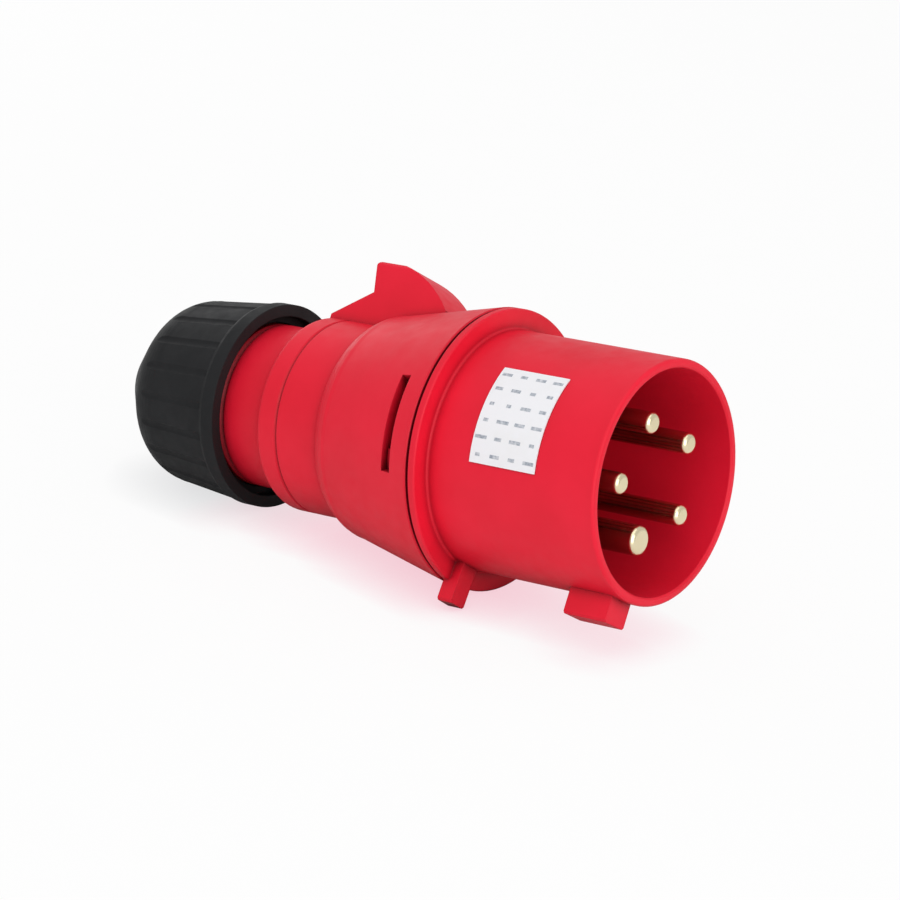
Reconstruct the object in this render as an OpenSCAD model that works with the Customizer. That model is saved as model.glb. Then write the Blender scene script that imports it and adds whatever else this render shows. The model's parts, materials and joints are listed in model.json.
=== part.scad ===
// Industrial pin and sleeve plug with five contacts, a bayonet rear housing and a cable gland.
// Every piece is drawn on one axis: +Z runs from the mouth of the sleeve to the cable entry,
// and +X points at the key. lying() then turns the whole plug about the centre of its mouth
// into the pose in which it comes to rest on a table, on its barrel, its foot and its nut.

/* [Sleeve] */
// Outer radius of the sleeve that enters the socket
sleeve_r = 28.2; // [27:0.1:29.5]
// Wall of the sleeve
sleeve_wall = 2.1; // [1.6:0.1:2.8]
// Length of the sleeve from its mouth to the flange
sleeve_len = 46; // [43.5:0.5:50]
// Distance of the floor of the mouth in front of the flange
floor_setback = 5; // [4.5:0.1:7]
// Thickness of the base that holds the contacts
base_wall = 3; // [2.5:0.1:3.5]
// Radius on the outer edge of the mouth
lip_round = 0.8; // [0.4:0.1:1.0]
// Step out from the sleeve to the flange
flange_step = 4.8; // [4:0.1:6]
// Thickness of the flange
flange_wall = 1.7; // [1.5:0.1:2.4]
// Fillet between the sleeve and the flange
flange_fillet = 0.6; // [0.3:0.1:1.0]

/* [Key and foot] */
// Height of the key above the sleeve
key_h = 5.8; // [4:0.1:6.5]
// Width of the key
key_w = 8.0; // [6:0.1:9]
// Distance of the key behind the mouth
key_front = 2.6; // [2:0.1:6]
// Length of the key
key_len = 11.5; // [10:0.5:18]
// Height of the foot above the flange
foot_rise = 4.8; // [3:0.1:6]
// Width of the foot
foot_w = 5.5; // [4:0.1:8]
// Length of the foot in front of the flange
foot_reach = 2.4; // [1.5:0.1:4]
// Angle of the foot from the key
foot_angle = 4; // [0:0.5:8]
// Bevel along the edges of the key and the foot
block_bevel = 0.5; // [0.2:0.1:0.8]

/* [Contacts] */
// Distance of the contacts' own axes from the inner wall of the sleeve
contact_inset = 12.1; // [11.6:0.1:12.6]
// Number of contacts
contact_count = 5; // [5]
// Distance of the contact tips behind the mouth
tip_depth = 2.0; // [1:0.1:4]
// Radius of the phase and neutral pins
pin_r = 2.5; // [2.3:0.1:2.7]
// Radius of the earth pin
earth_pin_r = 3.5; // [3.3:0.1:3.7]
// Radius on the tip of a pin
tip_round = 1.2; // [0.8:0.1:1.6]
// Step out from a pin to its root in the base
root_step = 0.2; // [0.1:0.05:0.4]
// Length of the root in front of the base
root_reach = 1.0; // [0.5:0.1:2]
// Step out from a pin to its terminal
terminal_step = 1.4; // [1.2:0.1:1.5]
// Step out from a terminal to its collar
collar_step = 0.4; // [0.3:0.1:0.6]
// Length of the collar on a contact
collar_len = 2.5; // [2:0.1:3]
// Length of a terminal behind its carrier
terminal_reach = 10.2; // [9:0.1:12]
// Depth of the hole for the wire
wire_hole_depth = 8.5; // [7:0.1:9]
// Wall left round the hole for the wire
wire_hole_wall = 1.8; // [1.6:0.1:2]
// Radius of the thread of a terminal screw
terminal_screw_r = 1.55; // [1.3:0.05:1.7]
// Radius of the head of a terminal screw
terminal_head_r = 2.4; // [2.2:0.1:2.6]
// Height of the head of a terminal screw
terminal_head_h = 1.6; // [1.4:0.1:2]

/* [Contact carrier] */
// Length of the contact carrier
carrier_len = 11.7; // [10:0.1:12]
// Height of the walls between the terminals
barrier_h = 6.0; // [4:0.5:8]
// Thickness of the walls between the terminals
barrier_wall = 1.6; // [1.2:0.1:2]
// Distance of the walls between the terminals from the axis
barrier_in_r = 9.4; // [8:0.1:10]
// Distance of the walls between the terminals from the edge of the carrier
barrier_edge = 1.0; // [0.6:0.1:1.6]
// Distance of a carrier screw from the edge of the carrier
carrier_screw_inset = 6.25; // [5.75:0.05:6.5]
// Radius of the boss that takes a carrier screw
boss_r = 3.0; // [2.6:0.1:3.2]
// Height of the boss that takes a carrier screw
boss_h = 5.8; // [4:0.1:6.5]
// Radius of the thread of a carrier screw
carrier_screw_r = 1.35; // [1.2:0.05:1.5]
// Radius of the head of a carrier screw
carrier_head_r = 2.7; // [2.5:0.1:2.9]
// Height of the head of a carrier screw
carrier_head_h = 1.8; // [1.5:0.1:2.2]
// Depth to which a carrier screw enters its boss
carrier_screw_grip = 5.0; // [4:0.1:5.5]

/* [Bayonet] */
// Wall of the skirt
skirt_wall = 2.5; // [2:0.1:2.8]
// Length of the skirt
skirt_len = 12.3; // [12:0.1:13]
// Number of bayonet lugs
lug_count = 3; // [2:1:3]
// Height of a bayonet lug above the skirt
lug_h = 1.4; // [1:0.1:1.5]
// Length of a bayonet lug along the axis
lug_len = 2.0; // [1.6:0.1:2.4]
// Angle that a bayonet lug covers
lug_span = 20; // [14:1:24]
// Angle by which an entry slot is wider than its lug
entry_play = 2; // [1:0.5:4]
// Turn from an entry slot to the locked place
lug_turn = 35; // [30:1:40]
// Angle of the latch pad from the key
latch_angle = 67; // [64:1:80]
// Angle that the latch pad covers
latch_span = 9; // [6:1:12]
// Height of the latch pad above the skirt
latch_h = 2.0; // [1.4:0.1:2.6]

/* [Housing seal] */
// Radius of the section of the sealing ring
seal_section_r = 0.85; // [0.7:0.05:0.9]
// Depth of the groove in the skirt for the sealing ring
seal_groove_depth = 0.6; // [0.5:0.05:0.7]
// Width of the groove for the sealing ring
seal_groove_w = 2.0; // [1.9:0.1:2.4]
// Distance of the groove behind the flange
seal_groove_front = 1.6; // [1.2:0.1:2]

/* [Rear housing] */
// Wall of the barrel round the skirt, at its front edge
barrel_wall = 5.3; // [4.8:0.1:6]
// Width of the shadow line between flange and barrel
shadow_gap = 0.8; // [0.5:0.1:1.0]
// Depth of the shadow line between flange and barrel
shadow_depth = 1.5; // [1:0.1:2]
// Bevel on the front edge of the barrel
barrel_bevel = 0.3; // [0.1:0.1:0.5]
// Length of the tapered barrel
barrel_len = 28.4; // [26:0.1:30]
// Drop of the radius over the length of the barrel
barrel_taper = 6.1; // [5.5:0.1:7]
// Length of the round shoulder behind the barrel
shoulder_len = 4.3; // [3.5:0.1:5]
// Drop of the radius over the round shoulder
shoulder_drop = 1.9; // [1.2:0.1:2.4]
// Drop of the radius from the rear of the barrel to the collar behind it
collar_ring_drop = 3.6; // [3:0.1:4.2]
// Length of the collar behind the barrel
collar_ring_len = 18.5; // [17:0.1:20]
// Width of the groove between barrel and collar
collar_groove_w = 1.2; // [0.8:0.1:1.6]
// Depth of the groove between barrel and collar
collar_groove_depth = 0.9; // [0.5:0.1:1.2]
// Distance of the fine line from the rear end of the collar
fine_line_back = 6.2; // [5:0.1:8]
// Width and depth of the fine line round the collar
fine_line = 0.5; // [0.3:0.1:0.7]
// Radius on the rear edge of the collar
collar_round = 1.6; // [1:0.1:2]
// Drop of the radius from the collar to the threaded neck
neck_drop = 3.7; // [3.4:0.1:4.2]
// Length of the threaded neck
neck_len = 31; // [29:0.5:33]
// Wall of the rear housing
housing_wall = 2.5; // [2:0.1:3]
// Wall of the neck
neck_wall = 3.7; // [3.4:0.1:4]
// Pitch of the thread on the neck
thread_pitch = 2.5; // [2:0.25:3]
// Depth of the thread on the neck
thread_depth = 0.9; // [0.5:0.1:1.2]
// Length of the thread on the neck
thread_len = 17.5; // [15:0.5:18]
// Height of the ledge inside the neck
ledge_h = 4.0; // [3:0.1:5]
// Thickness of the ledge inside the neck
ledge_wall = 2.0; // [1.6:0.1:2.4]
// Angle of the middle of the window from the key
window_angle = 83; // [80:1:86]
// Angle that the window covers
window_span = 41.5; // [36:0.5:44]
// Length of the window along the axis
window_len = 2.8; // [2.4:0.1:3.2]
// Distance of the window behind the flange
window_front = 6.2; // [5.9:0.1:6.5]

/* [Nose] */
// Width of the nose opposite the key
nose_w = 13; // [10:0.5:15]
// Height of the nose above the front edge of the barrel
nose_rise = 5.0; // [3:0.1:7]
// Distance of the foot of the nose behind the front edge of the barrel
nose_front = 19.9; // [17:0.1:21]
// Length of the slope of the nose
nose_slope_len = 15.9; // [14:0.1:18]
// Height of the bulge in the slope of the nose
nose_bulge = 1.5; // [0.5:0.1:2.5]
// Length of the flat top of the nose
nose_top_len = 7.6; // [7:0.1:10]
// Lean of the rear face of the nose
nose_lean = 1.5; // [0:0.1:2]
// Drop from the top of the nose to the gusset behind it
gusset_drop = 7.8; // [5:0.1:10]
// Wall of the hollow nose
nose_wall = 2.4; // [2:0.1:3]
// Radius on the edges of the nose
nose_round = 1.2; // [0.6:0.1:1.6]

/* [Cable gland] */
// Wall of the gland nut at its collar
nut_wall = 4.7; // [4.2:0.1:5.4]
// Length of the collar of the gland nut
nut_collar_len = 3.5; // [3:0.1:4]
// Drop of the radius from the rim of the collar to the grip
nut_rim_drop = 0.4; // [0.2:0.1:0.6]
// Length over which the rim of the collar drops to the grip
nut_rim_len = 1.0; // [0.6:0.1:1.4]
// Drop of the radius from the collar of the gland nut to its waist
nut_taper = 2.1; // [1.6:0.1:2.6]
// Distance of the waist of the gland nut from its front
nut_waist = 21; // [19:0.5:22]
// Radius of the shoulder of the gland nut
nut_shoulder_r = 11; // [9:0.5:12]
// Angle of the rear cone of the gland nut
nut_cone_angle = 47; // [42:1:50]
// Length of the gland nut
nut_len = 37.3; // [36.5:0.1:38.5]
// Distance between the collar and the gland nut on the neck
nut_stand_off = 12; // [11:0.5:13]
// Step out from the bore of the cable seal to the cable hole in the gland nut
cable_hole_step = 2.0; // [1:0.1:2.5]
// Depth of the counterbore in the front of the gland nut
nut_mouth_depth = 3; // [2:0.1:3.5]
// Step from the thread to that counterbore
nut_mouth_step = 1.9; // [1.4:0.1:2.2]
// Number of grip flutes round the gland nut
flute_count = 20; // [16:1:24]
// Radius of a grip flute
flute_r = 1.6; // [1.2:0.1:2]
// Depth of a grip flute
flute_depth = 0.35; // [0.2:0.05:0.7]
// Wall of the gripping cage
cage_wall = 2.2; // [1.8:0.1:2.4]
// Depth to which the cage sits in the neck
cage_depth = 10; // [8:0.5:11]
// Thickness of the collar of the cage
cage_collar_h = 1.9; // [1.5:0.1:2.2]
// Step out from the neck bore to the collar of the cage
cage_collar_step = 2.5; // [2:0.1:2.8]
// Length of the fingers of the cage
finger_len = 7.5; // [6.5:0.1:8]
// Distance of the root of a finger from the edge of the collar of the cage
finger_inset = 1.1; // [0.8:0.1:1.4]
// Drop of the radius over the length of a finger
finger_taper = 3.5; // [3:0.1:4]
// Number of fingers
finger_count = 12; // [8:1:14]
// Width of a slit between two fingers
slit_w = 1.2; // [0.8:0.1:1.6]
// Wall of the cable seal
seal_wall = 5.9; // [5:0.1:6.5]
// Bevel at both ends of the bore of the cable seal
seal_bevel = 1.0; // [0.5:0.1:1.2]
// Length of the straight part of the cable seal
seal_len = 13; // [11:0.5:13.5]
// Length of the tapered end of the cable seal
seal_nose_len = 5; // [4:0.1:6]
// Drop of the radius over the tapered end of the cable seal
seal_nose_drop = 1.6; // [1.4:0.1:2]
// Thickness of the slip ring
slip_ring_h = 1.0; // [0.8:0.1:1.2]
// Step out from the tips of the fingers to the edge of the slip ring
slip_ring_step = 0.2; // [0.1:0.1:0.4]
// Width of the slip ring from its edge to its hole
slip_ring_w = 3.8; // [3:0.1:4]

/* [Label] */
// Angle of the middle of the label from the key
label_angle = 96.7; // [90:0.1:100]
// Angle that the label covers
label_span = 48; // [40:1:60]
// Distance of the label behind the mouth
label_front = 16.2; // [10:0.1:20]
// Length of the label along the axis
label_len = 18.0; // [15:0.1:25]
// Thickness of the label
label_h = 0.25; // [0.15:0.05:0.4]

/* [Fits] */
// Gap between faces that sit on each other
seat_gap = 0.1; // [0.05:0.05:0.15]
// Radial gap of a piece that is pushed into its place
push_fit = 0.15; // [0.1:0.05:0.2]
// Radial gap of a piece that slides or turns
slide_fit = 0.3; // [0.25:0.05:0.35]
// Radial gap of a screw in its thread
thread_fit = 0.05; // [0.03:0.01:0.1]

/* [Hidden] */
$fn = 96;
cut = 1; // overshoot of a cutting tool

red = [0.85, 0.12, 0.18];
black = [0.13, 0.13, 0.14];
brass = [0.86, 0.76, 0.48];
grey = [0.35, 0.36, 0.38];
white = [0.97, 0.97, 0.97];

// levels along the axis, from the mouth to the rear
flange_front = sleeve_len;
mouth_depth = sleeve_len - floor_setback;
base_rear = mouth_depth + base_wall;
flange_rear = flange_front + flange_wall;
skirt_rear = flange_rear + skirt_len;
lug_rear = skirt_rear - seat_gap;
lug_front = lug_rear - lug_len;
barrel_seat = flange_rear + seat_gap;
barrel_front = barrel_seat + shadow_gap;
barrel_rear = barrel_front + barrel_len;
shoulder_rear = barrel_rear + shoulder_len;
collar_ring_front = shoulder_rear + collar_groove_w;
collar_ring_rear = collar_ring_front + collar_ring_len;
neck_rear = collar_ring_rear + neck_len;
nut_front = collar_ring_rear + nut_stand_off;
nut_rear = nut_front + nut_len;

// radii of the sleeve, the skirt and the rear housing, from the sleeve outwards
sleeve_in_r = sleeve_r - sleeve_wall;
key_r = sleeve_r + key_h;
flange_r = sleeve_r + flange_step;
foot_r = flange_r + foot_rise;
barrel_r = flange_r;
housing_in_r = barrel_r - barrel_wall;
skirt_r = housing_in_r - slide_fit;
skirt_in_r = skirt_r - skirt_wall;
barrel_rear_r = barrel_r - barrel_taper;
collar_ring_r = barrel_rear_r - collar_ring_drop;
neck_r = collar_ring_r - neck_drop;
track_r = skirt_r + lug_h + slide_fit;
entry_r = skirt_r + lug_h + push_fit;
groove_floor_r = skirt_r - seal_groove_depth;
seal_centre_r = groove_floor_r + thread_fit + seal_section_r;
seal_seat_r = seal_centre_r + seal_section_r + thread_fit;
seal_middle = flange_rear + seal_groove_front + seal_groove_w / 2;

// contacts and their carrier
contact_step = 360 / contact_count;
contact_circle_r = sleeve_in_r - contact_inset;
carrier_front = base_rear + seat_gap;
carrier_rear = carrier_front + carrier_len;
carrier_r = skirt_in_r - push_fit;
carrier_screw_circle_r = carrier_r - carrier_screw_inset;
collar_front = base_rear + seat_gap;
collar_rear = collar_front + collar_len;
terminal_rear = carrier_rear + terminal_reach;
wire_hole_front = terminal_rear - wire_hole_depth;
terminal_screw_z = terminal_rear - wire_hole_depth / 2;
root_front = mouth_depth - root_reach;
carrier_screw_angles = [1.5 * contact_step, 3.5 * contact_step];

// neck and gland
neck_in_r = neck_r - neck_wall;
ledge_rear = neck_rear - cage_depth - 2 * seat_gap;
ledge_front = ledge_rear - ledge_wall;
ledge_in_r = neck_in_r - ledge_h;
cage_r = neck_in_r - push_fit;
cage_in_r = cage_r - cage_wall;
cage_front = neck_rear + seat_gap - cage_depth;
cage_collar_front = neck_rear + seat_gap;
cage_collar_rear = cage_collar_front + cage_collar_h;
cage_collar_r = neck_in_r + cage_collar_step;
finger_root_r = cage_collar_r - finger_inset;
finger_tip_r = finger_root_r - finger_taper;
finger_rear = cage_collar_rear + finger_len;
finger_in_tip_r = cage_in_r - seal_nose_drop;
seal_r = cage_in_r - push_fit;
seal_bore_r = seal_r - seal_wall;
seal_front = cage_front;
seal_straight_rear = seal_front + seal_len;
seal_rear = seal_straight_rear + seal_nose_len;
nut_thread_r = neck_r + slide_fit;
nut_r = nut_thread_r + nut_wall;
nut_rim_r = nut_r - nut_rim_drop;
nut_waist_r = nut_r - nut_taper;
nut_mouth_r = nut_thread_r + nut_mouth_step;
nut_thread_rear = cage_collar_rear + slide_fit;
slip_ring_front = finger_rear + slide_fit;
slip_ring_rear = slip_ring_front + slip_ring_h;
slip_ring_r = finger_tip_r + slip_ring_step;
slip_ring_in_r = slip_ring_r - slip_ring_w;
nut_end_face = slip_ring_rear + seat_gap;
cable_hole_r = seal_bore_r + cable_hole_step;

// outline of the gland nut behind its waist
nut_arc_z = nut_front + nut_waist;
nut_arc_r = nut_waist_r - nut_shoulder_r;
nut_cone_z = nut_arc_z + nut_shoulder_r * sin(nut_cone_angle);
nut_cone_r = nut_arc_r + nut_shoulder_r * cos(nut_cone_angle);
nut_rear_r = nut_cone_r - (nut_rear - nut_cone_z) * tan(nut_cone_angle);
nut_collar_rear = nut_front + nut_collar_len;
nut_rim_rear = nut_collar_rear + nut_rim_len;

// nose on the rear housing
nose_start = barrel_front + nose_front;
nose_top_front = nose_start + nose_slope_len;
nose_top_rear = nose_top_front + nose_top_len;
gusset_rear = collar_ring_rear - seat_gap;
nose_r = barrel_r + nose_rise;
gusset_r = nose_r - gusset_drop;
nose_foot_r = barrel_r - barrel_taper * nose_front / barrel_len;

// resting pose: barrel edge, foot and nut all touch the table
rest_edge = barrel_front + barrel_bevel;
collar_pitch = atan((barrel_r - nut_r) / (nut_collar_rear - rest_edge));
shoulder_run = nut_arc_z - rest_edge;
shoulder_fall = barrel_r - nut_arc_r;
shoulder_pitch = atan2(shoulder_fall, shoulder_run)
    - asin(nut_shoulder_r / norm([shoulder_run, shoulder_fall]));
lie_pitch = min(collar_pitch, shoulder_pitch);
foot_corner = [foot_r, foot_w / 2 - block_bevel];
foot_rear = flange_rear - seat_gap;
foot_drop = barrel_r + (rest_edge - foot_rear) * tan(lie_pitch);
lie_roll = acos(foot_drop / norm(foot_corner)) + atan2(foot_corner[1], foot_corner[0])
    - foot_angle;

// turns the plug from its own axis into the resting pose, with the mouth towards +X
module lying()
{
    rotate([0, -lie_pitch, 0])
        rotate([0, -90, 0])
            rotate([0, 0, 180 + lie_roll])
                children();
}

// points of an arc about a centre, from one angle to another
function arc(centre, radius, from, to, steps = 6) =
    [for (i = [0:steps]) centre + radius * [cos(from + (to - from) * i / steps),
                                            sin(from + (to - from) * i / steps)]];

// plain ring between two levels
module ring(low, high, inner, outer)
{
    translate([0, 0, low])
        rotate_extrude()
            translate([inner, 0])
                square([outer - inner, high - low]);
}

// piece of a ring, centred on an angle
module ring_piece(low, high, inner, outer, middle, span)
{
    rotate([0, 0, middle - span / 2])
        translate([0, 0, low])
            rotate_extrude(angle = span)
                translate([inner, 0])
                    square([outer - inner, high - low]);
}

// block that stands out of the sleeve towards +X, with its long edges bevelled
module side_block(low, high, top, width)
{
    root = sleeve_r - sleeve_wall / 2;
    half = width / 2;
    translate([0, 0, low])
        linear_extrude(high - low)
            polygon([[root, -half], [top - block_bevel, -half], [top, block_bevel - half],
                [top, half - block_bevel], [top - block_bevel, half], [root, half]]);
}

// sleeve, base, flange and skirt in one turned outline
module sleeve_outline()
{
    polygon(concat(
        [[0, mouth_depth], [sleeve_in_r, mouth_depth], [sleeve_in_r, lip_round / 2],
            [sleeve_in_r + lip_round / 2, 0]],
        arc([sleeve_r - lip_round, lip_round], lip_round, -90, 0),
        arc([sleeve_r + flange_fillet, flange_front - flange_fillet], flange_fillet, 180, 90),
        [[flange_r - barrel_bevel, flange_front], [flange_r, flange_front + barrel_bevel],
            [flange_r, flange_rear], [skirt_r, flange_rear],
            [skirt_r, seal_middle - seal_groove_w / 2],
            [groove_floor_r, seal_middle - seal_groove_w / 2],
            [groove_floor_r, seal_middle + seal_groove_w / 2],
            [skirt_r, seal_middle + seal_groove_w / 2],
            [skirt_r, skirt_rear], [skirt_in_r, skirt_rear],
            [skirt_in_r, base_rear], [0, base_rear]]));
}

module plug_sleeve()
{
    color(red)
        lying()
            difference() {
                union() {
                    rotate_extrude()
                        sleeve_outline();
                    side_block(key_front, key_front + key_len, key_r, key_w);
                    rotate([0, 0, foot_angle])
                        side_block(flange_front - foot_reach, foot_rear, foot_r, foot_w);
                    for (i = [0:lug_count - 1])
                        ring_piece(lug_front, lug_rear, skirt_r - skirt_wall / 2,
                            skirt_r + lug_h, i * 360 / lug_count, lug_span);
                    ring_piece(flange_rear + window_front + slide_fit,
                        flange_rear + window_front + window_len - slide_fit,
                        skirt_r - skirt_wall / 2, skirt_r + latch_h, latch_angle, latch_span);
                    for (angle = carrier_screw_angles)
                        rotate([0, 0, angle])
                            translate([carrier_screw_circle_r, 0, base_rear - base_wall / 2])
                                cylinder(h = boss_h + base_wall / 2, r = boss_r);
                }
                for (i = [0:contact_count - 1])
                    rotate([0, 0, i * contact_step])
                        translate([contact_circle_r, 0, mouth_depth - cut])
                            cylinder(h = base_wall + 2 * cut,
                                r = (i == 0 ? earth_pin_r : pin_r) + root_step + push_fit);
                for (angle = carrier_screw_angles)
                    rotate([0, 0, angle])
                        translate([carrier_screw_circle_r, 0,
                                base_rear + boss_h - carrier_screw_grip - push_fit])
                            cylinder(h = carrier_screw_grip + push_fit + cut,
                                r = carrier_screw_r + thread_fit);
            }
}

module rating_label()
{
    color(white)
        lying()
            ring_piece(label_front, label_front + label_len, sleeve_r + thread_fit,
                sleeve_r + thread_fit + label_h, label_angle, label_span);
}

// wall between two terminals
module barrier(angle)
{
    rotate([0, 0, angle])
        translate([barrier_in_r, -barrier_wall / 2, carrier_rear - cut])
            cube([carrier_r - barrier_edge - barrier_in_r, barrier_wall, barrier_h + cut]);
}

module contact_carrier()
{
    color(grey)
        lying()
            difference() {
                union() {
                    translate([0, 0, carrier_front])
                        cylinder(h = carrier_len, r = carrier_r);
                    for (i = [0, 2, 4])
                        barrier((i + 0.5) * contact_step);
                }
                for (i = [0:contact_count - 1])
                    rotate([0, 0, i * contact_step])
                        translate([contact_circle_r, 0, 0])
                            contact_room((i == 0 ? earth_pin_r : pin_r) + terminal_step);
                for (angle = carrier_screw_angles)
                    rotate([0, 0, angle])
                        translate([carrier_screw_circle_r, 0, carrier_front])
                            screw_room();
            }
}

// stepped hole in the carrier for one contact
module contact_room(terminal_r)
{
    translate([0, 0, carrier_front - cut])
        cylinder(h = collar_len + seat_gap + cut, r = terminal_r + collar_step + push_fit);
    translate([0, 0, carrier_front])
        cylinder(h = carrier_len + cut, r = terminal_r + push_fit);
}

// room in the carrier for a boss and its screw
module screw_room()
{
    translate([0, 0, -cut])
        cylinder(h = boss_h + cut, r = boss_r + push_fit);
    cylinder(h = carrier_len + cut, r = carrier_screw_r + push_fit);
    translate([0, 0, carrier_len - carrier_head_h])
        cylinder(h = carrier_head_h + cut, r = carrier_head_r + push_fit);
}

// slotted screw that points down from its head at the origin
module slotted_screw(shank_r, shank_len, head_r, head_h)
{
    difference() {
        union() {
            cylinder(h = head_h, r = head_r);
            translate([0, 0, -shank_len])
                cylinder(h = shank_len + head_h / 2, r = shank_r);
        }
        translate([-head_r - cut, -head_r / 6, head_h / 2])
            cube([2 * (head_r + cut), head_r / 3, head_h]);
    }
}

module carrier_screws()
{
    head_seat = carrier_rear - carrier_head_h + seat_gap;
    color(grey)
        lying()
            for (angle = carrier_screw_angles)
                rotate([0, 0, angle])
                    translate([carrier_screw_circle_r, 0, head_seat])
                        slotted_screw(carrier_screw_r,
                            head_seat - base_rear - boss_h + carrier_screw_grip,
                            carrier_head_r, carrier_head_h - seat_gap);
}

// turned contact: pin with its root in the base, collar, and a terminal with holes for the
// wire and its screw
module contact(place, radius)
{
    root_r = radius + root_step;
    terminal_r = radius + terminal_step;
    collar_r = terminal_r + collar_step;
    color(brass)
        lying()
            rotate([0, 0, place * contact_step])
                translate([contact_circle_r, 0, 0])
                    difference() {
                        rotate_extrude()
                            polygon(concat(
                                [[0, tip_depth]],
                                arc([radius - tip_round, tip_depth + tip_round], tip_round,
                                    -90, 0),
                                [[radius, root_front], [root_r, root_front],
                                    [root_r, collar_front], [collar_r, collar_front],
                                    [collar_r, collar_rear], [terminal_r, collar_rear],
                                    [terminal_r, terminal_rear - collar_step],
                                    [terminal_r - collar_step, terminal_rear],
                                    [0, terminal_rear]]));
                        translate([0, 0, wire_hole_front])
                            cylinder(h = wire_hole_depth + cut, r = terminal_r - wire_hole_wall);
                        translate([0, 0, terminal_screw_z])
                            rotate([0, 90, 0])
                                cylinder(h = terminal_r + cut,
                                    r = terminal_screw_r + thread_fit);
                    }
}

module terminal_screw(place, radius)
{
    terminal_r = radius + terminal_step;
    color(grey)
        lying()
            rotate([0, 0, place * contact_step])
                translate([contact_circle_r + terminal_r + seat_gap, 0, terminal_screw_z])
                    rotate([0, 90, 0])
                        slotted_screw(terminal_screw_r, terminal_r,
                            terminal_head_r, terminal_head_h);
}

module housing_seal()
{
    color(black)
        lying()
            translate([0, 0, seal_middle])
                rotate_extrude()
                    translate([seal_centre_r, 0])
                        circle(r = seal_section_r);
}

// outside of the rear housing: barrel, shoulder, collar and neck
module housing_outline()
{
    groove_r = collar_ring_r - collar_groove_depth;
    line_z = collar_ring_rear - fine_line_back;
    polygon(concat(
        [[0, barrel_seat], [barrel_r - shadow_depth, barrel_seat],
            [barrel_r - shadow_depth, barrel_front], [barrel_r - barrel_bevel, barrel_front],
            [barrel_r, rest_edge], [barrel_rear_r, barrel_rear]],
        [for (i = [1:4])
            [barrel_rear_r - shoulder_drop * pow(i / 4, 2),
                barrel_rear + shoulder_len * i / 4]],
        [[groove_r, shoulder_rear], [groove_r, collar_ring_front],
            [collar_ring_r, collar_ring_front], [collar_ring_r, line_z - fine_line],
            [collar_ring_r - fine_line, line_z], [collar_ring_r, line_z + fine_line]],
        arc([collar_ring_r - collar_round, collar_ring_rear - collar_round], collar_round, 0, 90),
        [[neck_r, collar_ring_rear], [neck_r, neck_rear - thread_depth],
            [neck_r - thread_depth, neck_rear], [0, neck_rear]]));
}

// room inside the rear housing, from the seal seat to the neck
module housing_room()
{
    throat = collar_ring_r - collar_groove_depth - housing_wall;
    polygon([[0, barrel_seat - cut], [seal_seat_r, barrel_seat - cut],
        [seal_seat_r, seal_middle + seal_groove_w / 2],
        [housing_in_r, seal_middle + seal_groove_w / 2],
        [housing_in_r, lug_front - slide_fit], [track_r, lug_front - slide_fit],
        [track_r, lug_rear + slide_fit], [housing_in_r, lug_rear + slide_fit],
        [barrel_rear_r - housing_wall, barrel_rear - housing_wall],
        [throat, shoulder_rear - housing_wall], [throat, collar_ring_rear - housing_wall],
        [neck_in_r, collar_ring_rear + collar_ring_r - neck_r - housing_wall],
        [neck_in_r, ledge_front], [ledge_in_r, ledge_front], [ledge_in_r, ledge_rear],
        [neck_in_r, ledge_rear], [neck_in_r, neck_rear + cut], [0, neck_rear + cut]]);
}

// hollow nose opposite the key: a side outline with its long edges rounded
module nose_block()
{
    half = nose_w / 2;
    root = collar_ring_r - collar_groove_depth - housing_wall / 2;
    top = [nose_r, nose_top_front];
    fall = [nose_foot_r, nose_start] - top;
    swell = [-fall[1], fall[0]] / norm(fall);
    steps = 8;
    intersection() {
        rotate([90, 0, 0])
            linear_extrude(nose_w, center = true)
                polygon(concat(
                    [[root, nose_start], [root, gusset_rear],
                        [collar_ring_r, gusset_rear],
                        [gusset_r, nose_top_rear - nose_lean]],
                    arc([nose_r - nose_round, nose_top_rear - nose_round], nose_round, 90, 0, 4),
                    [for (i = [0:steps])
                        top + fall * i / steps
                            + swell * 4 * nose_bulge * i * (steps - i) / pow(steps, 2)]));
        linear_extrude(nose_top_rear + gusset_rear)
            polygon(concat(
                [[0, -half]],
                arc([nose_r - nose_round, nose_round - half], nose_round, -90, 0, 4),
                arc([nose_r - nose_round, half - nose_round], nose_round, 0, 90, 4),
                [[0, half]]));
    }
}

module nose_core()
{
    width = nose_w - 2 * nose_wall;
    front = nose_top_front;
    rear = nose_top_rear - nose_lean - nose_wall;
    translate([0, -width / 2, front])
        cube([nose_r - nose_wall, width, rear - front]);
}

module thread_groove(z)
{
    half = thread_pitch / 3 * (1 + cut / thread_depth);
    translate([0, 0, z])
        rotate_extrude()
            polygon([[neck_r - thread_depth, 0], [neck_r + cut, -half], [neck_r + cut, half]]);
}

module rear_housing()
{
    entry_angles = [for (i = [0:lug_count - 1]) i * 360 / lug_count + lug_turn];
    color(red)
        lying()
            difference() {
                union() {
                    rotate_extrude()
                        housing_outline();
                    rotate([0, 0, 180])
                        nose_block();
                }
                rotate_extrude()
                    housing_room();
                rotate([0, 0, 180])
                    nose_core();
                for (angle = entry_angles)
                    ring_piece(barrel_seat - cut, lug_front, housing_in_r - cut, entry_r,
                        angle, lug_span + entry_play);
                ring_piece(flange_rear + window_front, flange_rear + window_front + window_len,
                    housing_in_r - cut, barrel_r + cut, window_angle, window_span);
                for (z = [neck_rear - thread_len:thread_pitch:neck_rear - thread_pitch])
                    thread_groove(z);
            }
}

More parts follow.
